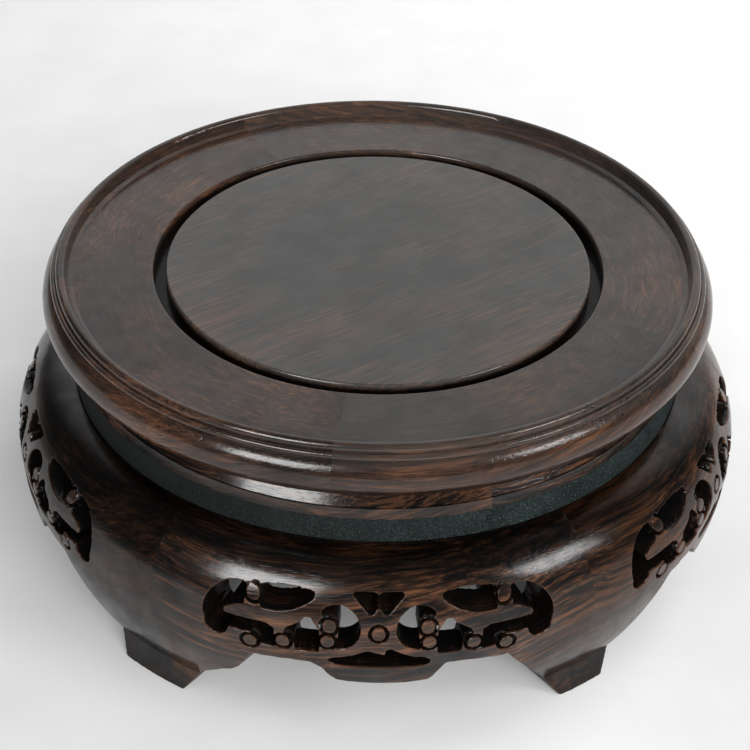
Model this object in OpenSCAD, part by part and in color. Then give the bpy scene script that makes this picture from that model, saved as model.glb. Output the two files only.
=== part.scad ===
// Round five-legged hardwood stand for a vase or bowl.
// Glued up from curved segments: a top ring with a round panel let into it,
// a stepped waist, and a bulging apron of five openwork panels that end in half legs.
// Millimetres, +Z up, origin on the floor under the centre. One panel faces -Y.

/* [Top ring] */
// Radius of the opening that holds the panel
opening_r = 60; // [54:0.5:66]
// Width of the ring from the opening to its largest radius
ring_w = 29.4; // [26:0.2:33]
// Thickness from the flat field to the underside
ring_t = 12; // [11:0.5:15]
// Radius of the half-round on the edge
edge_round = 5.6; // [4.6:0.1:5.8]
// Height of the lip above the field
lip_h = 3.7; // [3:0.1:4.5]
// Width of the rounded crest of the lip
lip_w = 2.7; // [2.2:0.1:3.2]
// Distance from the largest radius in to the middle of the lip
lip_set = 5.2; // [4.8:0.1:6]
// Radius of the bead outside the lip
bead_r = 0.9; // [0.6:0.05:1]
// Radius of the rounded edges on both sides of the shadow gap
gap_round = 0.7; // [0.3:0.1:1]
// Bearing of the first joint of the ring, in degrees
ring_joint_az = -7.5; // [-9:0.5:-6]

/* [Centre panel] */
// Width of the shadow gap round the panel
panel_gap = 3.2; // [1.5:0.1:5]
// Depth of the shadow gap
gap_depth = 4; // [2.5:0.25:4.5]
// Thickness of the tongue round the panel
tongue_t = 3.5; // [2.5:0.25:4]
// Depth of the groove that the tongue sits in
groove_depth = 3; // [2:0.25:3.5]
// Thickness of the raised part under the tongue
panel_back = 2; // [0.5:0.25:2.5]
// Room for the panel to swell in its groove
swell_room = 0.5; // [0.2:0.1:0.8]

/* [Waist] */
// How far the top ring overhangs the foot of the moulding
overhang = 7.9; // [6:0.1:9]
// Width of the moulding from its foot to its inside
waist_w = 13.5; // [12:0.5:15]
// Height of the stepped moulding
moulding_h = 9.6; // [8:0.2:11]
// Height of the fillet at the foot of the moulding
fillet_h = 3.2; // [2.5:0.1:4]
// Width of the ledge on top of the fillet
fillet_ledge = 0.5; // [0.3:0.1:0.9]
// Height of the slope above the fillet
slope_h = 3.6; // [2.8:0.1:4]
// How far the slope draws in
slope_draw = 2.8; // [2:0.1:3.2]
// Height of the matt band
band_h = 5.8; // [4:0.2:8]
// How far the foot of the band stands out from the moulding
band_step = 1.3; // [0.8:0.1:1.8]
// How far the band draws in from foot to top
band_draw = 2; // [1.4:0.1:2.4]
// Bearing of the first joint of the moulding, in degrees
moulding_joint_az = 19.5; // [18:0.5:21]

/* [Apron and legs] */
// How far the top of the apron stands out from the band
shoulder_step = 0.6; // [0.3:0.1:1.2]
// Height of the shoulder from the widest point of the bulge to its top
shoulder_h = 19.2; // [17.5:0.1:21]
// How far the bulge stands out from the top of the shoulder
bulge_out = 16.2; // [14:0.2:17]
// Height where the bulge is widest
bulge_h = 33.4; // [30:0.2:36]
// Thickness of the apron wall
wall = 8; // [7:0.5:9]
// Thickness of the flange that carries the waist
flange_t = 5; // [4.6:0.1:5.4]
// Thickness of the legs
leg_wall = 14; // [12:0.5:14.5]
// How far the thick part of a leg reaches to each side of its joint, in degrees
leg_span = 16; // [13:0.5:17]
// How much thicker the flange is over the legs
leg_flange = 1.5; // [0.8:0.1:2]
// How far the legs draw in from the bulge to the neck above the feet
neck_in = 7.1; // [6:0.1:8]
// Height of the feet up to the neck
neck_h = 6; // [4:0.5:7]
// How far the feet flare out from the neck to the floor
foot_flare = 2.5; // [1:0.1:4]
// Bearing of the saw cut beside a leg, in degrees from the middle of the panel
leg_cut_az = 38; // [37.5:0.5:38.5]

/* [Carving] */
// Radius of the round studs
stud_r = 1.7; // [1.4:0.1:1.8]
// Width of the groove round a stud
stud_groove_w = 0.85; // [0.6:0.05:0.95]
// Depth of the groove round a stud
stud_groove_d = 2; // [1:0.25:3]

/* [Joints] */
// Thickness of the loose tongues in the ring joints
ring_spline_t = 3; // [2:0.5:3.5]
// Length of a ring tongue across the joint
ring_spline_len = 16; // [12:1:18]
// Wood left between a ring tongue and the faces beside it
ring_spline_set = 4.1; // [3:0.1:6]
// Thickness of the loose tongues in the leg joints
leg_spline_t = 3; // [2:0.5:3.5]
// Length of a leg tongue across the joint
leg_spline_len = 12; // [8:1:14]
// Height of a leg tongue
leg_spline_h = 18; // [12:1:18]
// Diameter of the pegs through the waist
peg_d = 4; // [3:0.25:5]
// Distance from the inside of the waist to the middle of the pegs
peg_set = 5; // [4:0.25:6]
// Depth of a peg in the ring and in the apron flange
peg_depth = 3.8; // [3:0.1:4.2]
// Clearance round tongues and pegs
fit = 0.1; // [0.05:0.05:0.2]

/* [Hidden] */
$fn = 96;
sides = 5;
pitch = 360 / sides;
far = 130;

// Bearings of the five panels and of the leg joint after each, laid out by hand and not quite evenly
panel_az = [0, 65, 140.5, 215, 288];
leg_joint_az = [32.2, 102.7, 177.8, 251.5, 325.6];
function wrapped(list, i) = list[(i + sides) % sides] + 360 * floor(i / sides);
function panel_at(i) = wrapped(panel_az, i);
function leg_az(i) = wrapped(leg_joint_az, i);

// Radii from the top ring down to the floor, each set off from the one before
edge_r = opening_r + ring_w;
moulding_r = edge_r - overhang;
waist_in_r = moulding_r - waist_w;
band_r = moulding_r + band_step;
shoulder_r = band_r + shoulder_step;
bulge_r = shoulder_r + bulge_out;
neck_r = bulge_r - neck_in;
foot_r = neck_r + foot_flare;

// Heights of the stacked layers
apron_h = bulge_h + shoulder_h;
band_z = apron_h;
moulding_z = band_z + band_h;
ring_z = moulding_z + moulding_h;
field_z = ring_z + ring_t;

// Radius of an arc that leaves the vertical at its widest point and draws in by d over a height h
function arc_radius(d, h) = (d * d + h * h) / (2 * d);

shoulder_arc = arc_radius(bulge_out, shoulder_h);
leg_arc = arc_radius(neck_in, bulge_h - neck_h);
shoulder_c = bulge_r - shoulder_arc;
leg_c = bulge_r - leg_arc;
// Radius where the hollow of a panel meets the underside of the flange
hollow_c = bulge_r - wall - (shoulder_h - flange_t);

// Radius of the outside of the apron at a height z above the neck
function apron_r(z) = z >= bulge_h
    ? shoulder_c + sqrt(pow(shoulder_arc, 2) - pow(z - bulge_h, 2))
    : leg_c + sqrt(pow(leg_arc, 2) - pow(z - bulge_h, 2));

lip_r = edge_r - lip_set;
lip_spread = 0.6;
edge_rise = 0.7;
edge_c_r = edge_r - edge_round;
panel_r = opening_r - panel_gap;
tongue_z = field_z - gap_depth - tongue_t;
groove_r = opening_r + groove_depth;
ring_spline_r = (groove_r + lip_r) / 2;
ring_spline_w = lip_r - groove_r - 2 * ring_spline_set;
ring_spline_z = ring_z + ring_t / 2;
leg_spline_r = bulge_r - leg_wall / 2;
leg_spline_z = bulge_h - 2;
peg_circle_r = waist_in_r + peg_set;
peg_bearings = [5, -20];
peg_l = moulding_h + band_h + 2 * peg_depth;

// Studs on the right half of a panel: distance from the middle, height from the widest point
studs = [[11.8, 5.5], [12.2, 1.2], [23, -0.4], [31, -2.4], [30, 10.6]];
centre_stud = [0, 4];

// Bearings of the saw cuts of the openings, in degrees from the middle of the panel
crescent_az = 23.2;
long_az = 16;
leaf_az = 12.5;
side_az = 10.5;
comma_az = 5;

// Drop from the widest point to the underside of the lower rail
rail_drop = 6.2;
// Half the width of the middle part of the arch
arch_half = 22;
// Where the saw cut beside a leg starts, seen along that cut, and how far it starts below the rail
leg_cut_start = 43;
leg_cut_step = 0.1;
// Extra wood left on the legs to the right and left of each panel, which are sawn by eye
leg_trim = [[0, 0], [2.5, 5.4], [2.5, 2.5], [2.5, 2.5], [2.5, 2.5]];

// Turns a child about the axis to a bearing, measured from -Y towards +X
module at_bearing(az) {
    rotate([0, 0, az]) children();
}

// Revolves an (r, z) outline from one bearing to another
module revolve(from, to) {
    rotate([0, 0, from - 90]) rotate_extrude(angle = to - from) children();
}

// Mirrors a 2D outline to both sides of the middle
module both_sides() {
    children();
    mirror([1, 0]) children();
}

// Outline of the top ring: field, lip, bead, cove, half-round edge and panel groove
module ring_profile() {
    crest_r = lip_w / 2;
    difference() {
        union() {
            translate([opening_r, ring_z]) square([edge_c_r - opening_r, ring_t]);
            translate([edge_c_r, field_z + edge_rise - edge_round]) circle(edge_round);
            translate([lip_r, field_z + lip_h - crest_r]) circle(crest_r);
            polygon([
                [lip_r - crest_r - lip_spread, field_z],
                [lip_r - crest_r, field_z + lip_h - crest_r],
                [lip_r + crest_r, field_z + lip_h - crest_r],
                [lip_r + crest_r, field_z - edge_rise]
            ]);
            translate([lip_r + crest_r + bead_r / 2, field_z + bead_r]) circle(bead_r);
        }
        translate([opening_r - 1, tongue_z]) square([groove_depth + 1, tongue_t + fit]);
        translate([opening_r, field_z]) rounded_off();
    }
}

// What is cut away to round a square corner whose solid lies towards +X and -Y
module rounded_off() {
    difference() {
        translate([-1, -gap_round]) square([gap_round + 1, gap_round + 1]);
        translate([gap_round, -gap_round]) circle(gap_round);
        translate([gap_round, -gap_round - 1]) square([1, gap_round + 2]);
    }
}

// Tongue across a joint: its size runs across the joint, along the radius and up
module tongue_block(across, along, up, room) {
    cube([across + 2 * room, along + 2 * room, up + 2 * room], center = true);
}

module ring_spline_at(room) {
    translate([0, -ring_spline_r, ring_spline_z])
        tongue_block(ring_spline_len, ring_spline_w, ring_spline_t, room);
}

module leg_spline_at(room) {
    translate([0, -leg_spline_r, leg_spline_z])
        tongue_block(leg_spline_len, leg_spline_t, leg_spline_h, room);
}

// All ten pegs, or with some room the holes for them
module all_pegs(room) {
    for (i = [0:sides - 1], az = peg_bearings)
        at_bearing(i * pitch + az)
            translate([0, -peg_circle_r, apron_h - peg_depth - room])
                cylinder(d = peg_d + 2 * room, h = peg_l + 2 * room);
}

module top_segment(i) {
    color("#4a2c22") difference() {
        at_bearing(ring_joint_az + (i - 1) * pitch) difference() {
            revolve(0, pitch) ring_profile();
            for (end = [0, pitch]) at_bearing(end) ring_spline_at(fit);
        }
        all_pegs(fit);
    }
}

module ring_spline(i) {
    color("#8a5a3a") at_bearing(ring_joint_az + (i - 1) * pitch) ring_spline_at(0);
}

module centre_panel() {
    color("#3f2a24") rotate_extrude() difference() {
        union() {
            translate([0, tongue_z]) square([panel_r, tongue_t + gap_depth]);
            translate([0, tongue_z]) square([groove_r - swell_room, tongue_t]);
            translate([0, tongue_z - panel_back]) square([opening_r - swell_room, panel_back]);
        }
        translate([panel_r, field_z]) mirror([1, 0]) rounded_off();
    }
}

// Outline of the stepped moulding: a fillet with a narrow ledge, a slope and an upright neck
module moulding_profile() {
    fillet_z = moulding_z + fillet_h;
    ledge_r = moulding_r - fillet_ledge;
    top_r = ledge_r - slope_draw;
    polygon([
        [waist_in_r, moulding_z],
        [moulding_r, moulding_z],
        [moulding_r, fillet_z],
        [ledge_r, fillet_z],
        [top_r, fillet_z + slope_h],
        [top_r, ring_z],
        [waist_in_r, ring_z]
    ]);
}

module waist_moulding(i) {
    color("#5b3526") difference() {
        at_bearing(moulding_joint_az + (i - 1) * pitch) revolve(0, pitch) moulding_profile();
        all_pegs(fit);
    }
}

module waist_band() {
    color("#2b2f30") difference() {
        rotate_extrude() polygon([
            [waist_in_r, band_z],
            [band_r, band_z],
            [band_r - band_draw, moulding_z],
            [waist_in_r, moulding_z]
        ]);
        all_pegs(fit);
    }
}

module waist_pegs() {
    color("#a07850") all_pegs(0);
}

// Outline of the apron before it is hollowed: shoulder arc and leg arc that meet at the bulge, and a foot
module apron_profile() {
    translate([waist_in_r, bulge_h]) square([shoulder_c - waist_in_r, shoulder_h]);
    intersection() {
        translate([shoulder_c, bulge_h]) circle(shoulder_arc);
        translate([waist_in_r, bulge_h]) square([far, shoulder_h]);
    }
    intersection() {
        translate([leg_c, bulge_h]) circle(leg_arc);
        translate([waist_in_r, neck_h]) square([far, bulge_h - neck_h]);
    }
    polygon([[waist_in_r, 0], [foot_r, 0], [neck_r, neck_h], [waist_in_r, neck_h]]);
}

// Outline of the hollow that leaves a wall and a flange of the given thickness
module hollow_profile(wall_t, top_t) {
    start_r = waist_in_r - 2;
    arc = shoulder_h - top_t;
    arc_c = bulge_r - wall_t - arc;
    foot_in_r = leg_c + sqrt(pow(leg_arc - wall_t, 2) - pow(bulge_h - neck_h, 2));
    intersection() {
        translate([arc_c, bulge_h]) circle(arc);
        translate([start_r, bulge_h]) square([far, shoulder_h]);
    }
    translate([start_r, bulge_h]) square([arc_c - start_r, arc]);
    intersection() {
        translate([leg_c, bulge_h]) circle(leg_arc - wall_t);
        translate([start_r, neck_h]) square([far, bulge_h - neck_h]);
    }
    translate([start_r, -1]) square([foot_in_r - start_r, neck_h + 1]);
}

// Outlines of the carving are drawn from the middle of the panel and the height of the bulge.
// Where a point of the outline lies when it is seen along a saw cut
function seen(p, az) =
    let (r = apron_r(bulge_h + p[1])) [r * sin(asin(p[0] / r) - az), p[1]];
function outline(points, az) = [for (p = points) seen(p, az)];

// Crescent at the end of the carving, cut round the pointed tongue of a web
module crescent_opening() {
    difference() {
        union() {
            intersection() {
                translate([-4.45, 4]) circle(8.27);
                polygon(outline([
                    [31.8, 13.6], [46, 13.6], [46, 0.4], [35.8, 0.4], [31.8, 0.8]
                ], crescent_az));
            }
            translate([0.15, 0.3]) circle(3.15);
        }
        translate(seen([36.6, 5.2], crescent_az)) circle(0.9);
        polygon(outline([[36.4, 4.3], [37.2, 5.9], [35, 7], [30, 8.4], [30, 0.2], [35, 0.2]], crescent_az));
    }
}

// Long opening that runs inwards from the crescent
module long_opening() {
    polygon(outline([
        [25, -2.8], [28.3, -2.6], [31, 0.5], [33.6, 0.2],
        [37, 1], [37, 4.4], [27, 4.2], [25.2, 3.2]
    ], long_az));
}

// Leaf between the crescent and the middle
module leaf_opening() {
    intersection() {
        translate([5, 23.85]) circle(16.25);
        translate([1, -26.8]) circle(40);
        polygon([[-5.4, 6], [7.4, 6], [8, 14], [-5.4, 14]]);
    }
}

// Opening between the second and third studs
module side_opening() {
    polygon(outline([
        [14.3, -2.4], [20, -2.6], [20.6, 0.6], [22.9, 2.6], [22.2, 4],
        [18.6, 6], [17.8, 7.2], [16.4, 7.3], [14.3, 4.3]
    ], side_az));
}

// Round comma beside the centre stud, with a hook over the first stud
module comma_opening() {
    intersection() {
        translate(seen([10, 4.9], comma_az)) circle(5.7);
        polygon(outline([
            [3, -2], [10.2, -2], [10.2, 0.4], [9.6, 3.4], [9.8, 6.6],
            [11, 7.9], [13.6, 7.9], [13.6, 12], [3, 12]
        ], comma_az));
    }
}

// Heart above the centre stud: a flat top, sloping sides and two small lobes at the foot
module heart_opening() {
    both_sides() {
        translate([1.9, 10]) circle(1.2);
        polygon([
            [0, 10.2], [1.2, 9.6], [2.8, 9.3], [6.2, 12.6], [5.7, 13.2], [0.9, 13.2], [0, 12.7]
        ]);
    }
}

// Long slot in the pendant, with a cusp hanging from its top edge
module slot_opening() {
    polygon([
        [-12.3, -5.1], [-11.6, -4.1], [-6.8, -2.9], [-2.7, -1.1], [1.6, -2.4], [1.9, -0.8],
        [3, -0.4], [5.2, -1.6], [7.9, -3], [11.3, -3.5], [12.6, -4.6], [12.5, -5.7],
        [11.4, -6.5], [5.3, -6.8], [-6.7, -6.8], [-10.4, -6.3]
    ]);
}

// Space under the middle of the apron, drawn round the pendant
module arch_outline() {
    difference() {
        translate([-arch_half, -far]) square([2 * arch_half, far - rail_drop]);
        intersection() {
            translate([1, 55]) circle(68.3);
            polygon([
                [-17.5, -5], [-15.9, -6.6], [-13.5, -8.1], [-12.5, -9.9], [-11.1, -11.4], [-8.6, -14],
                [11, -14], [12.4, -12.3], [13.5, -11], [14.6, -9.1], [16, -6.9], [17.5, -5]
            ]);
        }
    }
}

// Space between the arch and a leg, seen along the saw cut
module leg_cut_outline() {
    polygon([
        [-leg_cut_start, -far], [-leg_cut_start, -rail_drop - leg_cut_step], [-32.6, -7],
        [-29.7, -11], [-18.4, -24.7], [-13.2, -bulge_h], [-13.2, -far]
    ]);
}

// The same space on the left of the front panel, where the leg has a round lobe
module lobed_cut_outline() {
    polygon([
        [-leg_cut_start, -far], [-leg_cut_start, -rail_drop - leg_cut_step], [-33.3, -7], [-32.2, -9.2],
        [-31, -11.6], [-29.2, -14.4], [-27.2, -16.4], [-24, -18.3], [-18.7, -22.6],
        [-15.5, -25.4], [-11.6, -32], [-10.7, -bulge_h], [-10.7, -far]
    ]);
}

// Cuts a 2D outline through the panel that faces -Y, outwards from a given radius
module through_panel(from = waist_in_r) {
    translate([0, -from, bulge_h]) rotate([90, 0, 0]) linear_extrude(far - from) children();
}

// Blind groove round a stud, following the bulge
module stud_groove(p) {
    r = apron_r(bulge_h + p[1]);
    floor_y = sqrt(r * r - p[0] * p[0]) - stud_groove_d;
    translate([p[0], -floor_y, bulge_h + p[1]]) rotate([90, 0, 0]) difference() {
        cylinder(r = stud_r + stud_groove_w, h = far - floor_y);
        translate([0, 0, -1]) cylinder(r = stud_r, h = far);
    }
}

module apron_segment(i) {
    color("#4b2a20") difference() {
        revolve(leg_az(i - 2), leg_az(i - 1)) difference() {
            apron_profile();
            hollow_profile(leg_wall, flange_t + leg_flange);
        }
        revolve(leg_az(i - 2) + leg_span, leg_az(i - 1) - leg_span) hollow_profile(wall, flange_t);
        at_bearing(panel_at(i - 1)) {
            through_panel(hollow_c) heart_opening();
            through_panel(hollow_c) slot_opening();
            through_panel() arch_outline();
            stud_groove(centre_stud);
            for (side = [0, 1]) mirror([side, 0, 0]) {
                at_bearing(crescent_az) through_panel() crescent_opening();
                at_bearing(long_az) through_panel(hollow_c) long_opening();
                at_bearing(leaf_az) through_panel(hollow_c) leaf_opening();
                at_bearing(side_az) through_panel(hollow_c) side_opening();
                at_bearing(comma_az) through_panel(hollow_c) comma_opening();
                at_bearing(leg_cut_az) through_panel() {
                    if (i == 1 && side == 1) lobed_cut_outline();
                    else translate([-leg_trim[i - 1][side], 0]) leg_cut_outline();
                }
                for (p = studs) stud_groove(p);
            }
        }
        for (joint = [i - 2, i - 1]) at_bearing(leg_az(joint)) leg_spline_at(fit);
        all_pegs(fit);
    }
}

module leg_spline(i) {
    color("#8a5a3a") at_bearing(leg_az(i - 1)) leg_spline_at(0);
}

for (i = [1:sides]) {
    top_segment(i);
    ring_spline(i);
    waist_moulding(i);
    apron_segment(i);
    leg_spline(i);
}
centre_panel();
waist_band();
waist_pegs();
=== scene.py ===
import math

import bpy
import numpy as np
from bpy.props import FloatProperty, FloatVectorProperty, IntProperty, PointerProperty
from mathutils import Matrix, Vector, noise
from mathutils.bvhtree import BVHTree


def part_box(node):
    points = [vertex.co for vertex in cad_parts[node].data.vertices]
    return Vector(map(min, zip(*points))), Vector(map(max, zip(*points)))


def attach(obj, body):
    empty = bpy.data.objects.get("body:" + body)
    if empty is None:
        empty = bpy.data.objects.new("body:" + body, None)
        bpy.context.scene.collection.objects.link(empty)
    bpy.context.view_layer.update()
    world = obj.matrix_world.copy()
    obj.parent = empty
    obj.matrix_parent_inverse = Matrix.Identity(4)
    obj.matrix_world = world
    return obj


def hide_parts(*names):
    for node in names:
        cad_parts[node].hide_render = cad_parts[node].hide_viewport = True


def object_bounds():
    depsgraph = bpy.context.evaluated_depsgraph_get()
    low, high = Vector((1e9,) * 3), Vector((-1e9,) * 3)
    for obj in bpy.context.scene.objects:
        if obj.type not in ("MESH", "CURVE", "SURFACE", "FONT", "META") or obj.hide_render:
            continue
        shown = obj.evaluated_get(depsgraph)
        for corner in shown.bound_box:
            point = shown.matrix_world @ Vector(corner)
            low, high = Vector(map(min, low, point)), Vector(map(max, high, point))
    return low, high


bl_info = {
    "name": "Carved Hardwood Stand",
    "version": (1, 0, 0),
    "blender": (4, 5, 0),
    "location": "3D View > Sidebar > Stand",
    "description": "Lacquered rosewood, softened carving and a stage for a round stand",
    "category": "Object",
}

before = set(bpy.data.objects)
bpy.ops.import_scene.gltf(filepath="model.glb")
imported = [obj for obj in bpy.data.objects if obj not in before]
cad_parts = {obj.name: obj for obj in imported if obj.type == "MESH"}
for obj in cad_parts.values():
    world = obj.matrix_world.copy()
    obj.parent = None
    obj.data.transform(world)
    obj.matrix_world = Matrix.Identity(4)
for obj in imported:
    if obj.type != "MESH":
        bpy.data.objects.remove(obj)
CAD_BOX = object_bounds()
SIDES = range(1, 6)
MM = 0.001

# Outside of the apron: two arcs that meet at the bulge, and the flare of the feet
BULGE_R, BULGE_H = 99.6 * MM, 33.4 * MM
SHOULDER_R, APRON_H = 83.4 * MM, 52.6 * MM
NECK_R, NECK_H = 92.5 * MM, 6 * MM
FOOT_R = 95 * MM
# Thickness at the top of the apron that the sawn openings leave whole
FLANGE_T = 5.6 * MM

# The shadow gap between the centre panel and the top ring
GAP_IN_R, GAP_OUT_R, FIELD_Z = 56.8 * MM, 60 * MM, 80 * MM
# Heights over which the colour changes from the edge of the top, lightened as painted light, to
# its field with its painted reflection
FIELD_EDGE = (FIELD_Z - 2 * MM, FIELD_Z - 0.2 * MM)
# Inner and outer radius of the bead and the cove outside the lip
BEAD_R = (83.6 * MM, 88.4 * MM)

# Middle bearing of each segment in degrees, measured from the front towards the right
TOP_BEARINGS = (28.5, 100.5, 172.5, 244.5, 316.5)
MOULDING_BEARINGS = (55.5, 127.5, 199.5, 271.5, 343.5)
APRON_BEARINGS = (0, 65, 140.5, 215, 288)
PANEL_BEARING = 36
LEG_JOINTS = (32.2, 102.7, 177.8, 251.5, 325.6)

# Grey sheen painted on each length of the top as painted reflection, and depth of colour of each
# panel of the apron
TOP_PAINTED_SHEEN = (0.014, 0.013, 0.013, 0.004, 0.004)
PANEL_PAINTED_SHEEN = 0.032
APRON_TONES = (1.15, 1.0, 0.9, 0.8, 0.45)
# Share of red, green and blue in the painted reflection on the top
PAINTED_SHEEN_TINT = (0.92, 1.0, 0.98)

# The grain of a bent piece is level to the left of its middle and bows upwards to the right
GRAIN_LEVEL_AT, GRAIN_BOW = 40 * MM, 1.6
# How far the grain wanders across the plank, and how far apart two planks lie in the tree
GRAIN_DRIFT = 14 * MM
PLANK_STEP = (0.37, 0.53, 0.71)
# Share of the streaks in the figure against that of the fibres, and the figure's middle
STREAK_SHARE, FIBRE_SHARE, FIGURE_MIDDLE = 0.66, 0.34, 0.48
# Least lacquer on the carved and on the turned pieces, and in the cuts
CARVED_COAT, TURNED_COAT, CUT_COAT = 0.64, 0.80, 0.35
# Middle range of a noise, which is mapped to the range of a colour or a gloss
MIDDLE = (0.3, 0.7)
DUST = (0.055, 0.062, 0.060, 1.0)
WHITE = (1.0, 1.0, 1.0, 1.0)

# Waves that the scraper leaves: turns round the stand, turns up the height, start
SCRAPER_WAVES = ((11, 140, 0), (23, -90, 1.3), (37, 260, 2.1))
# Marks of the saw: how close they lie along and up the wall, and through it
SAW_PITCH, SAW_PITCH_THROUGH = 700, 40

# Lamps: bearing and elevation in degrees, distance, width and height in metres, radiance
GLINTS = {
    "left_glint": (-34, 36, 1.2, 0.50, 0.46, 14),
    "right_glint": (60, 38, 1.2, 0.42, 0.28, 11),
}
SOFT_LAMPS = {
    "right_key": (60, 38, 2.4, 1.0, 1.0, 5.2),
    "back_key": (125, 50, 2.4, 1.35, 1.05, 4.2),
    "front_fill": (14, 24, 2.4, 2.4, 1.2, 7.6),
}
LAMPS_AIM = Vector((0, 0, 0.05))
# Bearing and elevation of the middle of the white backdrop, in degrees
BACKDROP = (172, 26)
FLOOR_HALF = 4.0
SENSOR_MM = 36


class StandFinish(bpy.types.PropertyGroup):
    """Colours, grain and gloss of the lacquered wood."""

    dark_wood: FloatVectorProperty(
        name="Dark streaks", description="Colour of the black streaks in the rosewood",
        subtype="COLOR", size=3, min=0, max=1, default=(0.0026, 0.0026, 0.0026))
    mid_wood: FloatVectorProperty(
        name="Body of the wood", description="Colour of the wood between the streaks",
        subtype="COLOR", size=3, min=0, max=1, default=(0.0190, 0.0092, 0.0056))
    light_wood: FloatVectorProperty(
        name="Bright streaks", description="Colour of the orange streaks",
        subtype="COLOR", size=3, min=0, max=1, default=(0.092, 0.038, 0.0165))
    band_stain: FloatVectorProperty(
        name="Matt band", description="Colour of the matt stain on the waist band",
        subtype="COLOR", size=3, min=0, max=1, default=(0.0060, 0.0105, 0.0100))
    joint_wood: FloatVectorProperty(
        name="Joint wood", description="Colour of the bare tongues and pegs inside the joints",
        subtype="COLOR", size=3, min=0, max=1, default=(0.26, 0.13, 0.062))
    streak_width: FloatProperty(
        name="Streak width", description="Width of a streak across the grain",
        subtype="DISTANCE", unit="LENGTH", min=0.0005, max=0.02, default=0.0020)
    streak_length: FloatProperty(
        name="Streak length", description="Length of a streak along the grain",
        subtype="DISTANCE", unit="LENGTH", min=0.01, max=0.3, default=0.042)
    coat: FloatProperty(
        name="Lacquer", description="Strength of the clear lacquer",
        subtype="FACTOR", min=0, max=1, default=1.0)
    coat_roughness: FloatProperty(
        name="Lacquer blur", description="How far the lacquer blurs a reflection",
        subtype="FACTOR", min=0, max=1, default=0.16)


class StandCarving(bpy.types.PropertyGroup):
    """How soft the carved edges are and how even the hand work is."""

    cell: FloatProperty(
        name="Cell", description="Size of the mesh cells of a carved segment",
        subtype="DISTANCE", unit="LENGTH", min=0.0002, max=0.002, default=0.0003)
    soft_passes: IntProperty(
        name="Softening", description="Passes that wear the sharp edges down",
        min=0, max=20, default=2)
    undulation: FloatProperty(
        name="Undulation", description="Height of the slow waves that scraping leaves",
        subtype="DISTANCE", unit="LENGTH", min=0, max=0.001, default=0.00006)
    saw_depth: FloatProperty(
        name="Saw marks", description="Depth of the saw marks on the cut walls",
        subtype="DISTANCE", unit="LENGTH", min=0, max=0.001, default=0.00009)
    triangles: IntProperty(
        name="Triangles", description="Triangles that a carved segment may have",
        min=10000, max=200000, default=130000)


class StandStage(bpy.types.PropertyGroup):
    """Floor, lamps and camera."""

    floor_colour: FloatVectorProperty(
        name="Floor", description="Colour of the paper under the stand",
        subtype="COLOR", size=3, min=0, max=1, default=(0.85, 0.85, 0.85))
    lens: FloatProperty(
        name="Lens", description="Focal length in millimetres on a sensor of 36 mm",
        subtype="DISTANCE_CAMERA", min=10, max=300, default=86.4)
    distance: FloatProperty(
        name="Distance", description="From the camera to the middle of the top",
        subtype="DISTANCE", unit="LENGTH", min=0.1, max=5, default=0.4837)
    elevation: FloatProperty(
        name="Elevation", description="Angle of the camera above the top",
        subtype="ANGLE", unit="ROTATION", default=math.radians(32.409))
    bearing: FloatProperty(
        name="Bearing", description="Bearing of the camera from the front panel",
        subtype="ANGLE", unit="ROTATION", default=math.radians(-1.0))
    pan: FloatProperty(
        name="Pan", description="Turn of the camera off the middle of the top",
        subtype="ANGLE", unit="ROTATION", default=math.radians(0.0382))
    tilt: FloatProperty(
        name="Tilt", description="Tilt of the camera off the middle of the top",
        subtype="ANGLE", unit="ROTATION", default=math.radians(-3.6664))
    roll: FloatProperty(
        name="Roll", description="Roll of the camera",
        subtype="ANGLE", unit="ROTATION", default=math.radians(1.06))
    sky: FloatProperty(
        name="Even light", description="Level of the light that comes from all round",
        min=0, max=2, default=0.40)
    room: FloatProperty(
        name="Dark room", description="Level of the room that the lacquer mirrors at the front",
        min=0, max=1, default=0.06)


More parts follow.
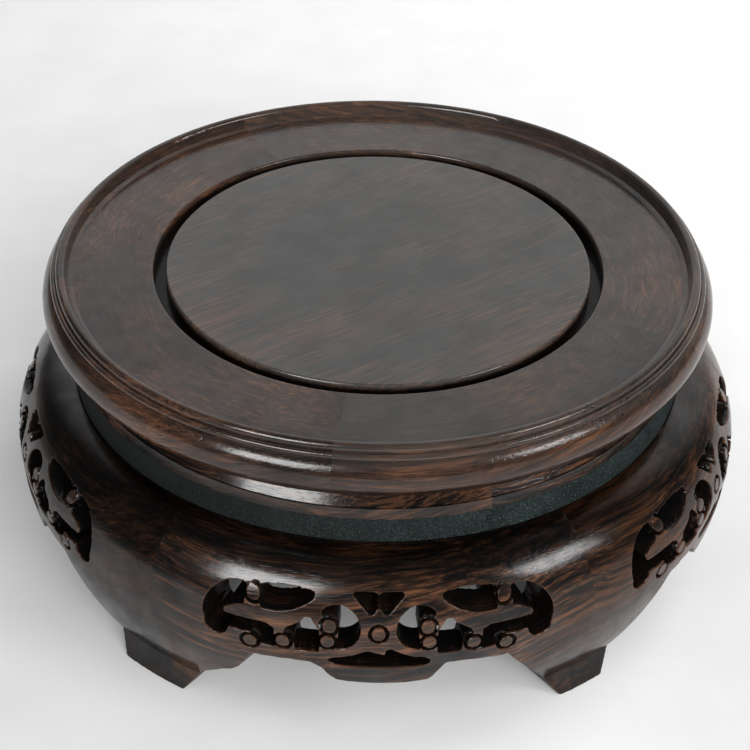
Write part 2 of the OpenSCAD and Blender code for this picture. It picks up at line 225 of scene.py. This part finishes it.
class Shader:
    """Builds the nodes of one material or world, each wired as it is added."""

    def __init__(self, owner, output="OutputMaterial"):
        self.owner = owner
        owner.use_nodes = True
        self.tree = owner.node_tree
        self.tree.nodes.clear()
        self.output = self.add(output)

    def add(self, kind, inputs=None, **settings):
        """One node with its settings, and its inputs linked or set."""
        node = self.tree.nodes.new("ShaderNode" + kind)
        for key, value in settings.items():
            setattr(node, key, value)
        for key, value in (inputs or {}).items():
            if isinstance(value, bpy.types.NodeSocket):
                self.tree.links.new(value, node.inputs[key])
            else:
                node.inputs[key].default_value = value
        return node

    def place(self):
        """Place on the piece, in its own axes."""
        return self.add("TexCoord").outputs["Object"]

    def split(self, place):
        """The three axes of a place."""
        return tuple(self.add("SeparateXYZ", {"Vector": place}).outputs)

    def math(self, operation, a, b=0.0):
        return self.add("Math", {0: a, 1: b}, operation=operation).outputs[0]

    def times(self, a, b):
        return self.math("MULTIPLY", a, b)

    def plus(self, a, b):
        return self.math("ADD", a, b)

    def minus(self, a, b):
        return self.math("SUBTRACT", a, b)

    def vector(self, operation, a, b):
        return self.add("VectorMath", {0: a, 1: b}, operation=operation).outputs[0]

    def stretched(self, place, scales):
        return self.vector("MULTIPLY", place, scales)

    def noise(self, at, scale=1.0, detail=2.0, roughness=0.5, distortion=0.0, output="Fac"):
        return self.add("TexNoise", {
            "Vector": at, "Scale": scale, "Detail": detail,
            "Roughness": roughness, "Distortion": distortion}).outputs[output]

    def spread(self, value, low, high, to_low=0.0, to_high=1.0):
        """Maps a range to another, smoothly at both ends."""
        return self.add("MapRange", {
            "Value": value, "From Min": low, "From Max": high,
            "To Min": to_low, "To Max": to_high},
            interpolation_type="SMOOTHSTEP").outputs["Result"]

    def mix(self, share, a, b, blend="MIX"):
        return self.add("Mix", {0: share, 6: a, 7: b},
                        data_type="RGBA", blend_type=blend).outputs[2]

    def tinted(self, colour, shade):
        return self.mix(1.0, colour, shade, "MULTIPLY")

    def blend(self, share, a, b):
        return self.add("Mix", {0: share, 2: a, 3: b}, data_type="FLOAT").outputs[0]

    def mark(self, label):
        """A share that the carving wrote on the mesh."""
        return self.add("Attribute", attribute_name=label).outputs["Fac"]

    def bump(self, height, strength, distance):
        return self.add("Bump", {
            "Strength": strength, "Distance": distance, "Height": height}).outputs["Normal"]

    def mirrored(self, ray):
        """1 for the rays that show the background in a mirror or through a glaze."""
        return self.math("MAXIMUM", ray["Is Glossy Ray"], ray["Is Transmission Ray"])

    def ramp(self, share, stops):
        node = self.add("ValToRGB", {"Fac": share})
        elements = node.color_ramp.elements
        while len(elements) < len(stops):
            elements.new(0.5)
        for element, (place, colour) in zip(elements, stops):
            element.position = place
            element.color = colour
        return node.outputs["Color"]

    def finish(self, shader):
        self.tree.links.new(shader.outputs[0], self.output.inputs["Surface"])
        return self.owner


def rgba(colour):
    return (*colour, 1.0)


def radius_of(s, place):
    level = s.stretched(place, (1, 1, 0))
    return s.add("VectorMath", {0: level}, operation="LENGTH").outputs["Value"]


def between(s, value, low, high, blur):
    """1 inside a range, with a soft border inside each end."""
    return s.times(s.spread(value, low, low + blur), s.spread(value, high - blur, high, 1, 0))


def grain_axes(s, bearing, seed, bent):
    """Places in a plank with its grain along X, turned to a bearing, and bent or straight."""
    turned = s.add("VectorRotate", {"Vector": s.place(), "Angle": -math.radians(bearing)},
                   rotation_type="Z_AXIS").outputs["Vector"]
    if bent:
        x, y, z = s.split(turned)
        arc = s.times(s.math("ARCTAN2", x, s.times(y, -1.0)), BULGE_R)
        sweep = s.times(s.math("POWER", s.plus(arc, GRAIN_LEVEL_AT), 2.0), GRAIN_BOW)
        bowed = {"X": arc, "Y": radius_of(s, turned), "Z": s.minus(z, sweep)}
        turned = s.add("CombineXYZ", bowed).outputs[0]
    return s.vector("ADD", turned, tuple(step * seed for step in PLANK_STEP))


def rosewood_grain(s, plank, fine):
    """Streaks, fibres and pores that run along the plank."""
    finish = bpy.context.scene.stand_finish
    drift = s.noise(plank, scale=24, detail=1.5, output="Color")
    drift = s.vector("SUBTRACT", drift, (0.5, 0.5, 0.5))
    drift = s.stretched(drift, (0.0, GRAIN_DRIFT / fine, GRAIN_DRIFT / fine))
    grain = s.vector("ADD", plank, drift)
    along, across = fine / finish.streak_length, fine / finish.streak_width

    def drawn_out(lengthwise, crosswise, **settings):
        scales = (lengthwise * along, crosswise * across, crosswise * across)
        return s.noise(s.stretched(grain, scales), **settings)

    streaks = drawn_out(1, 1, detail=3, roughness=0.6, distortion=0.2)
    fibres = drawn_out(2, 3, detail=2, roughness=0.6)
    pores = s.spread(drawn_out(5, 5, detail=1, roughness=0.4), 0.60, 0.72)
    return streaks, fibres, pores


def rosewood_colour(s, plank, streaks, fibres, tone, figure):
    """Black, brown and orange of the streaks, darker and lighter over the plank."""
    finish = bpy.context.scene.stand_finish
    patches = s.noise(s.stretched(plank, (18, 60, 60)))
    mixed = s.plus(s.times(streaks, STREAK_SHARE), s.times(fibres, FIBRE_SHARE))
    mixed = s.plus(mixed, s.spread(patches, *MIDDLE, -0.07, 0.07))
    mixed = s.plus(s.times(mixed, figure), FIGURE_MIDDLE * (1 - figure))
    halfway = tuple(0.5 * (a + b) for a, b in zip(finish.mid_wood, finish.light_wood))
    colour = s.ramp(mixed, (
        (0.40, rgba(finish.dark_wood)), (0.51, rgba(finish.mid_wood)),
        (0.59, rgba(halfway)), (0.72, rgba(finish.light_wood))))
    broad = s.noise(plank, scale=16)
    return s.tinted(colour, s.spread(broad, 0.32, 0.68, 0.55 * tone, 1.35 * tone))


def carved_details(s, plank, rise, colour, height):
    """Painted shade on the shoulder under the top, in the hollows and towards the feet, with worn
    edges and sawn walls of a carved segment.
    """
    finish = bpy.context.scene.stand_finish
    # Painted shade: the shoulder is darkened just under the overhang of the top
    colour = s.tinted(colour, s.spread(rise, 46 * MM, 51.5 * MM, 1.0, 0.25))
    # Painted shade: the lower legs darken towards the feet near the floor
    colour = s.tinted(colour, s.spread(rise, NECK_H, 26 * MM, 0.6, 1.0))
    cut = s.mark("cut")
    # Painted shade: the hollows of the carving are darkened
    colour = s.mix(s.times(s.mark("hollow"), 0.6), colour, rgba(finish.dark_wood))
    colour = s.mix(s.times(s.mark("wear"), 0.25), colour, rgba(finish.light_wood))
    teeth = s.noise(s.stretched(plank, (1500, 90, 1500)), detail=1)
    height = s.plus(height, s.times(s.times(teeth, cut), 1.2))
    return colour, height, cut


def turned_details(s, place, rise, colour, height):
    """Painted light on the edge, painted shade deep in the shadow gap, and chipped bead of the
    top.
    """
    finish = bpy.context.scene.stand_finish
    # Painted light: the edge of the top, below its field, is lightened
    colour = s.tinted(colour, s.spread(rise, *FIELD_EDGE, 1.3, 1.0))
    radius = radius_of(s, place)
    # Painted shade: deep in the shadow gap the walls are darkened and dulled
    sunk = s.spread(rise, FIELD_Z - 2 * MM, FIELD_Z - 0.9 * MM, 1, 0)
    beside = between(s, radius, GAP_IN_R - 0.5 * MM, GAP_OUT_R + 0.5 * MM, 0.3 * MM)
    chips = s.spread(s.noise(place, scale=800, roughness=0.7), 0.56, 0.66)
    handled = s.spread(s.noise(place, scale=28, detail=1), 0.50, 0.62)
    chips = s.times(s.times(chips, handled), between(s, radius, *BEAD_R, 0.6 * MM))
    height = s.minus(height, s.times(chips, 3.0))
    colour = s.mix(s.times(chips, 0.7), colour, rgba(finish.dark_wood))
    return colour, height, s.times(sunk, beside)


def rosewood(name, bearing, seed, tone=1.0, figure=1.0, fine=1.0, painted_sheen=0.0,
             bent=True, carved=False):
    """Dark rosewood with black and orange streaks under lacquer, and a grey painted reflection on
    the top.
    """
    finish = bpy.context.scene.stand_finish
    s = Shader(bpy.data.materials.new(name))
    place = s.place()
    rise = s.split(place)[2]
    plank = grain_axes(s, bearing, seed, bent)
    streaks, fibres, pores = rosewood_grain(s, plank, fine)
    colour = rosewood_colour(s, plank, streaks, fibres, tone, figure)
    colour = s.mix(s.times(pores, 0.65), colour, rgba(finish.dark_wood))
    # Painted reflection: a grey sheen is added to the colour of the top's field
    sheened = s.mix(1.0, colour, rgba(tuple(painted_sheen * part for part in PAINTED_SHEEN_TINT)), "ADD")
    colour = s.mix(s.spread(rise, *FIELD_EDGE), colour, sheened)

    lacquer = s.noise(plank, scale=420)
    height = s.plus(s.times(lacquer, 0.35), s.times(fibres, 0.25))
    height = s.minus(height, s.times(pores, 0.55))
    if carved:
        colour, height, dull_cuts_and_gap_shade = carved_details(s, plank, rise, colour, height)
    else:
        colour, height, dull_cuts_and_gap_shade = turned_details(s, place, rise, colour, height)

    least = CARVED_COAT if carved else TURNED_COAT
    cloud = s.noise(plank, scale=110, detail=5, roughness=0.6)
    polish = s.spread(cloud, *MIDDLE, least * finish.coat, finish.coat)
    return s.finish(s.add("BsdfPrincipled", {
        # Base colour darkened on the sawn walls, and as painted shade deep in the shadow gap
        "Base Color": s.mix(s.times(dull_cuts_and_gap_shade, 0.9), colour, rgba(finish.dark_wood)),
        "Roughness": s.blend(dull_cuts_and_gap_shade, s.spread(fibres, *MIDDLE, 0.30, 0.46), 0.7),
        "Normal": s.bump(height, 0.22, 0.4 * MM),
        "Specular IOR Level": 0.0,
        "Coat Weight": s.blend(dull_cuts_and_gap_shade, polish, CUT_COAT),
        "Coat Roughness": finish.coat_roughness,
        "Coat Normal": s.bump(height, 0.10, 0.4 * MM)}))


def matt_stain(name):
    """Dark matt stain on the open grain of the band, darkened towards the left as painted shade,
    with dust caught in it to the right.
    """
    finish = bpy.context.scene.stand_finish
    s = Shader(bpy.data.materials.new(name))
    place = s.place()
    grit = s.noise(place, scale=2400, roughness=0.7)
    cloud = s.noise(place, scale=120, detail=3)
    dust = s.spread(s.noise(place, scale=1900, detail=1), 0.60, 0.72)
    # Painted shade darkens the band towards the left, and the dust thins out there
    dust_and_painted_shade = s.spread(s.split(place)[0], -65 * MM, 30 * MM, 0.3, 1.0)
    shade = s.times(s.spread(grit, 0.35, 0.65, 0.3, 2.0), s.spread(cloud, *MIDDLE, 0.7, 1.3))
    colour = s.tinted(rgba(finish.band_stain), s.times(shade, dust_and_painted_shade))
    return s.finish(s.add("BsdfPrincipled", {
        "Base Color": s.mix(s.times(dust, s.times(dust_and_painted_shade, 0.5)), colour, DUST),
        "Roughness": s.spread(grit, *MIDDLE, 0.62, 0.85),
        "Normal": s.bump(grit, 0.5, 0.3 * MM),
        "Specular IOR Level": 0.2}))


def bare_wood(name):
    """Unfinished wood of the tongues and pegs that the joints hide."""
    finish = bpy.context.scene.stand_finish
    s = Shader(bpy.data.materials.new(name))
    fibres = s.noise(s.stretched(s.place(), (900, 900, 60)), detail=3)
    return s.finish(s.add("BsdfPrincipled", {
        "Base Color": s.tinted(rgba(finish.joint_wood), s.spread(fibres, *MIDDLE, 0.7, 1.25)),
        "Roughness": s.spread(fibres, *MIDDLE, 0.55, 0.7),
        "Normal": s.bump(fibres, 0.3, 0.2 * MM)}))


def paper(name):
    """White backing paper with a faint mottle, greyer on both sides as painted shade, lighter
    towards the back as painted light, and white far off.
    """
    stage = bpy.context.scene.stand_stage
    s = Shader(bpy.data.materials.new(name))
    place = s.place()
    x, y, _ = s.split(place)
    mottle = s.noise(place, scale=35, detail=4)
    colour = s.tinted(rgba(stage.floor_colour), s.spread(mottle, 0.25, 0.75, 0.97, 1.02))
    # Painted light: the paper is lighter towards the back
    colour = s.tinted(colour, s.spread(y, -0.1, 0.35, 0.98, 1.10))
    # Painted shade: the paper greys on the left and at the front right
    left = s.times(s.spread(x, -0.22, 0.0, 0.13, 0.0), s.spread(y, -0.17, -0.05))
    right = s.times(s.spread(x, 0.02, 0.2, 0.0, 0.38), s.spread(y, -0.12, 0.10, 1.0, 0.0))
    colour = s.tinted(colour, s.minus(1.0, s.plus(left, right)))
    sheet = s.add("BsdfPrincipled", {"Base Color": colour, "Roughness": 0.9}).outputs[0]
    white = s.add("Emission", {"Color": WHITE, "Strength": 1.0}).outputs[0]
    ray = s.add("LightPath").outputs
    seen = s.math("MAXIMUM", ray["Is Camera Ray"], s.mirrored(ray))
    far = s.times(s.spread(radius_of(s, place), 0.4, 1.0), seen)
    return s.finish(s.add("MixShader", {0: far, 1: sheet, 2: white}))


def wear_material(piece, material):
    """Gives a piece one material."""
    piece.data.materials.clear()
    piece.data.materials.append(material)


def read_points(mesh):
    points = np.empty(len(mesh.vertices) * 3)
    mesh.vertices.foreach_get("co", points)
    return points.reshape(-1, 3)


def read_normals(mesh):
    normals = np.empty(len(mesh.vertices) * 3, np.float32)
    mesh.vertex_normals.foreach_get("vector", normals)
    return normals.reshape(-1, 3).astype(float)


def read_edges(mesh):
    edges = np.empty(len(mesh.edges) * 2, np.int32)
    mesh.edges.foreach_get("vertices", edges)
    return edges.reshape(-1, 2)


def reshaped(mesh, kind, **settings):
    """A new mesh, as one modifier leaves the given one."""
    block = bpy.data.objects.new("block", mesh)
    bpy.context.scene.collection.objects.link(block)
    change = block.modifiers.new("change", kind)
    for key, value in settings.items():
        setattr(change, key, value)
    depsgraph = bpy.context.evaluated_depsgraph_get()
    result = bpy.data.meshes.new_from_object(block.evaluated_get(depsgraph))
    bpy.data.objects.remove(block)
    return result


def nearest_on(mesh, points):
    """Nearest place on a mesh to each point."""
    corners = [vertex.co for vertex in mesh.vertices]
    tree = BVHTree.FromPolygons(corners, [face.vertices for face in mesh.polygons])
    return np.array([tree.find_nearest(point)[0] for point in points.tolist()])


def smooth_towards_neighbours(values, edges, passes, strength=0.5):
    """Moves each row towards the mean of its neighbours."""
    count = np.bincount(edges.ravel(), minlength=len(values)).clip(1)[:, None]
    for _ in range(passes):
        total = np.zeros_like(values)
        for axis in range(values.shape[1]):
            total[:, axis] = (
                np.bincount(edges[:, 0], values[edges[:, 1], axis], len(values))
                + np.bincount(edges[:, 1], values[edges[:, 0], axis], len(values)))
        values = values + strength * (total / count - values)
    return values


def unit(vectors):
    return vectors / np.linalg.norm(vectors, axis=1)[:, None]


def ramp_01(value, low, high):
    share = np.clip((value - low) / (high - low), 0, 1)
    return share * share * (3 - 2 * share)


def apron_radius(z):
    """Outside radius of the apron at each height."""
    def arc(draw, rise):
        return (draw ** 2 + rise ** 2) / (2 * draw)

    upper = arc(BULGE_R - SHOULDER_R, APRON_H - BULGE_H)
    lower = arc(BULGE_R - NECK_R, BULGE_H - NECK_H)
    swell = np.where(z >= BULGE_H, upper, lower)
    radius = BULGE_R - swell + np.sqrt(np.maximum(swell ** 2 - (z - BULGE_H) ** 2, 0))
    return np.where(z < NECK_H, FOOT_R + (NECK_R - FOOT_R) * z / NECK_H, radius)


def apron_surface(points):
    """Bearing and radius of each point, and true radius and outward normal of the apron there."""
    angle = np.arctan2(points[:, 0], -points[:, 1])
    radius = np.hypot(points[:, 0], points[:, 1])
    height, step = points[:, 2], 0.05 * MM
    slope = (apron_radius(height + step) - apron_radius(height - step)) / (2 * step)
    normal = np.c_[np.sin(angle), -np.cos(angle), -slope] / np.sqrt(1 + slope ** 2)[:, None]
    return angle, radius, apron_radius(height), normal


def soften(solid, carving):
    """Fine mesh of a solid with its sharp edges worn down: mesh, edges, points and normals."""
    mesh = reshaped(solid, "REMESH", mode="VOXEL", voxel_size=carving.cell)
    edges = read_edges(mesh)
    points = nearest_on(solid, read_points(mesh))
    points = smooth_towards_neighbours(points, edges, carving.soft_passes)
    mesh.vertices.foreach_set("co", points.ravel())
    mesh.update()
    return mesh, edges, points, unit(smooth_towards_neighbours(read_normals(mesh), edges, 1))


def shape_apron(edges, points, normals, carving):
    """Scrapes the outer face true and saws the walls, and gives the points and their marks."""
    angle, radius, true_radius, surface = apron_surface(points)
    height = points[:, 2]
    depth = true_radius - radius
    facing = (normals * surface).sum(1)
    on_face = ramp_01(facing, 0.88, 0.97) * (np.abs(depth) < carving.cell)
    corner_reach = 0.9 * carving.cell
    beside = np.full(len(points), 1.0)
    for joint in np.radians(LEG_JOINTS):
        aside = np.abs(radius * np.sin(angle - joint))
        corner = (aside < corner_reach) & (np.abs(depth) < corner_reach)
        corner &= np.cos(angle - joint) > 0
        beside = np.minimum(beside, aside)
        on_face[corner] = 1
        angle[corner] = joint
    waves = sum(np.sin(round_turns * angle + up_turns * height + start)
                for round_turns, up_turns, start in SCRAPER_WAVES) / len(SCRAPER_WAVES)
    radius = radius + on_face * (true_radius + waves * carving.undulation - radius)
    points[:, :2] = np.c_[np.sin(angle), -np.cos(angle)] * radius[:, None]

    sawn = (depth > 0.5 * MM) & (np.abs(facing) < 0.6)
    sawn &= (height < APRON_H - FLANGE_T) & (height > 0.3 * MM)
    for i in np.flatnonzero(sawn):
        mark = noise.noise((SAW_PITCH * radius[i] * angle[i], SAW_PITCH * height[i],
                            SAW_PITCH_THROUGH * radius[i]))
        points[i] += normals[i] * mark * carving.saw_depth

    mean = smooth_towards_neighbours(points, edges, 3, 0.6)
    bend = ((points - mean) * normals).sum(1) / carving.cell
    return points, {
        "cut": ramp_01(depth, 0.25 * MM, 0.7 * MM),
        "wear": ramp_01(bend, 0.05, 0.28) * ramp_01(beside, 1 * MM, 2 * MM),
        # The concave bend marks where the carving paints shade in its hollows
        "hollow": ramp_01(-bend, 0.05, 0.28)}


def true_normals(mesh, carving):
    """Sets the normals of the outer face to those of the apron's curve, also at the joints."""
    points, normals = read_points(mesh), read_normals(mesh)
    angle, radius, true_radius, surface = apron_surface(points)
    beside = np.min([np.abs(radius * np.sin(angle - joint))
                     for joint in np.radians(LEG_JOINTS)], axis=0)
    skin = np.abs(true_radius - radius) < 0.12 * MM
    facing = ramp_01((normals * surface).sum(1), 0.6, 0.93)
    share = skin * np.where(beside < 2 * carving.cell, 1, facing)
    normals += share[:, None] * (surface - normals)
    mesh.normals_split_custom_set_from_vertices(unit(normals))


def carve(name, node):
    """A segment of the apron with softened edges, true curves and saw marks in its openings."""
    carving = bpy.context.scene.stand_carving
    rough, edges, points, normals = soften(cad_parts[node].data, carving)
    points, marks = shape_apron(edges, points, normals, carving)
    rough.vertices.foreach_set("co", points.ravel())
    for label, values in marks.items():
        layer = rough.attributes.new(label, "FLOAT", "POINT")
        layer.data.foreach_set("value", values.astype(np.float32))
    rough.update()
    ratio = min(1, carving.triangles / (2 * len(rough.polygons)))
    mesh = reshaped(rough, "DECIMATE", ratio=ratio)
    bpy.data.meshes.remove(rough)
    mesh.shade_smooth()
    true_normals(mesh, carving)

    piece = bpy.data.objects.new(name, mesh)
    bpy.context.scene.collection.objects.link(piece)
    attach(piece, "root")
    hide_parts(node)
    return piece


class STAND_OT_top_ring(bpy.types.Operator):
    """Finishes the five curved lengths of the top ring"""

    bl_idname = "stand.top_ring"
    bl_label = "Top ring"

    def execute(self, context):
        for i, bearing, painted_sheen in zip(SIDES, TOP_BEARINGS, TOP_PAINTED_SHEEN):
            wood = rosewood(f"top_rosewood_{i}", bearing, i,
                            tone=1.6, figure=0.5, fine=2.0, painted_sheen=painted_sheen)
            wear_material(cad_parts[f"top_segment_{i}"], wood)
        return {"FINISHED"}


class STAND_OT_centre_panel(bpy.types.Operator):
    """Finishes the round panel let into the ring"""

    bl_idname = "stand.centre_panel"
    bl_label = "Centre panel"

    def execute(self, context):
        wood = rosewood("panel_rosewood", PANEL_BEARING, 7,
                        tone=0.9, figure=0.85, fine=2.4, painted_sheen=PANEL_PAINTED_SHEEN, bent=False)
        wear_material(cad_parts["centre_panel"], wood)
        return {"FINISHED"}


class STAND_OT_waist(bpy.types.Operator):
    """Finishes the stepped moulding and the matt band under the top"""

    bl_idname = "stand.waist"
    bl_label = "Waist"

    def execute(self, context):
        for i, bearing in zip(SIDES, MOULDING_BEARINGS):
            wood = rosewood(f"moulding_rosewood_{i}", bearing, 10 + i, fine=1.6)
            wear_material(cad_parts[f"waist_moulding_{i}"], wood)
        wear_material(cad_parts["waist_band"], matt_stain("band_stain"))
        return {"FINISHED"}


class STAND_OT_apron(bpy.types.Operator):
    """Carves the five openwork segments of the apron"""

    bl_idname = "stand.apron"
    bl_label = "Carved apron"

    def execute(self, context):
        for i, bearing, tone in zip(SIDES, APRON_BEARINGS, APRON_TONES):
            piece = carve(f"carved_apron_{i}", f"apron_segment_{i}")
            wood = rosewood(f"apron_rosewood_{i}", bearing, 20 + i,
                            tone=tone, fine=1.5, carved=True)
            wear_material(piece, wood)
        return {"FINISHED"}


class STAND_OT_joinery(bpy.types.Operator):
    """Finishes the tongues and pegs that the joints hide"""

    bl_idname = "stand.joinery"
    bl_label = "Tongues and pegs"

    def execute(self, context):
        bare = bare_wood("bare_joint_wood")
        for i in SIDES:
            wear_material(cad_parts[f"ring_spline_{i}"], bare)
            wear_material(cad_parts[f"leg_spline_{i}"], bare)
        wear_material(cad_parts["waist_pegs"], bare)
        return {"FINISHED"}


def compass(bearing, elevation):
    """Direction of a bearing from the front and an elevation, in radians."""
    level = math.cos(elevation)
    return Vector((math.sin(bearing) * level, -math.cos(bearing) * level, math.sin(elevation)))


def hang_lamp(name, bearing, elevation, distance, width, height, radiance):
    """A soft box that faces the stand and looks equally bright from there at any size."""
    lamp = bpy.data.lights.new(name, "AREA")
    lamp.shape = "RECTANGLE"
    lamp.size, lamp.size_y = width, height
    lamp.energy = radiance * math.pi * width * height
    holder = bpy.data.objects.new(name, lamp)
    away = compass(math.radians(bearing), math.radians(elevation))
    holder.location = LAMPS_AIM + away * distance
    holder.rotation_euler = away.to_track_quat("Z", "Y").to_euler()
    bpy.context.scene.collection.objects.link(holder)
    return holder


class STAND_OT_stage(bpy.types.Operator):
    """Lays the paper, hangs the lamps and sets up the camera"""

    bl_idname = "stand.stage"
    bl_label = "Stage"

    def execute(self, context):
        scene = context.scene
        self.lay_floor(scene)
        self.light(scene)
        self.aim_camera(scene)
        scene.view_settings.view_transform = "Standard"
        return {"FINISHED"}

    def lay_floor(self, scene):
        mesh = bpy.data.meshes.new("paper_floor")
        ends = ((-1, -1), (1, -1), (1, 1), (-1, 1))
        corners = [(x * FLOOR_HALF, y * FLOOR_HALF, 0) for x, y in ends]
        mesh.from_pydata(corners, [], [(0, 1, 2, 3)])
        floor = bpy.data.objects.new("paper_floor", mesh)
        floor.location.z = CAD_BOX[0].z
        scene.collection.objects.link(floor)
        wear_material(floor, paper("white_paper"))

    def light(self, scene):
        """Glints show only in the lacquer, and soft lamps only light the surfaces."""
        for name, settings in GLINTS.items():
            hang_lamp(name, *settings).visible_diffuse = False
        for name, settings in SOFT_LAMPS.items():
            hang_lamp(name, *settings).visible_glossy = False
        scene.world = self.surround(scene.stand_stage)

    def surround(self, stage):
        """White for the camera, and for the lacquer a dark room with a white backdrop."""
        s = Shader(bpy.data.worlds.new("studio"), "OutputWorld")
        ray = s.add("LightPath").outputs
        towards = s.add("TexCoord").outputs["Generated"]
        middle = compass(*map(math.radians, BACKDROP))
        near = s.add("VectorMath", {0: towards, 1: middle}, operation="DOT_PRODUCT")
        backdrop = s.spread(near.outputs["Value"], 0.60, 0.9, stage.room, 1.0)
        glow = s.spread(s.split(towards)[2], -0.02, 0.30, 0.28, 0.0)
        level = s.blend(s.mirrored(ray), stage.sky, s.math("MAXIMUM", backdrop, glow))
        level = s.blend(ray["Is Camera Ray"], level, 1.0)
        return s.finish(s.add("Background", {"Color": WHITE, "Strength": level}))

    def aim_camera(self, scene):
        stage = scene.stand_stage
        target = Vector((0, 0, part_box("centre_panel")[1].z))
        back = compass(stage.bearing, stage.elevation)
        right = Matrix.Rotation(stage.bearing, 3, "Z") @ Vector((1, 0, 0))
        look = Matrix((right, back.cross(right), back)).transposed()
        pan = Matrix.Rotation(stage.pan, 3, "Y")
        tilt = Matrix.Rotation(-stage.tilt, 3, "X").transposed()
        pose = look @ pan @ tilt @ Matrix.Rotation(stage.roll, 3, "Z")
        camera = bpy.data.cameras.new("camera")
        camera.lens = stage.lens
        camera.sensor_width = SENSOR_MM
        camera.clip_start, camera.clip_end = 0.01, 20
        eye = bpy.data.objects.new("camera", camera)
        eye.matrix_world = Matrix.Translation(target + back * stage.distance) @ pose.to_4x4()
        scene.collection.objects.link(eye)
        scene.camera = eye


class STAND_PT_sidebar(bpy.types.Panel):
    """Sizes and steps of the stand"""

    bl_label = "Carved Hardwood Stand"
    bl_idname = "STAND_PT_sidebar"
    bl_space_type = "VIEW_3D"
    bl_region_type = "UI"
    bl_category = "Stand"

    def draw(self, context):
        for name, group in GROUPS.items():
            box = self.layout.box()
            box.label(text=name.removeprefix("stand_").capitalize())
            for key in group.__annotations__:
                box.prop(getattr(context.scene, name), key)
        for step in STEPS:
            self.layout.operator(step.bl_idname)


GROUPS = {"stand_finish": StandFinish, "stand_carving": StandCarving, "stand_stage": StandStage}
STEPS = (STAND_OT_stage, STAND_OT_top_ring, STAND_OT_centre_panel,
         STAND_OT_waist, STAND_OT_apron, STAND_OT_joinery)
CLASSES = (*GROUPS.values(), *STEPS, STAND_PT_sidebar)


def register():
    for cls in CLASSES:
        bpy.utils.register_class(cls)
    for name, group in GROUPS.items():
        setattr(bpy.types.Scene, name, PointerProperty(type=group))


def unregister():
    for name in GROUPS:
        delattr(bpy.types.Scene, name)
    for cls in reversed(CLASSES):
        bpy.utils.unregister_class(cls)


def main():
    register()
    bpy.ops.stand.stage()
    bpy.ops.stand.top_ring()
    bpy.ops.stand.centre_panel()
    bpy.ops.stand.waist()
    bpy.ops.stand.apron()
    bpy.ops.stand.joinery()


if __name__ == "__main__":
    main()
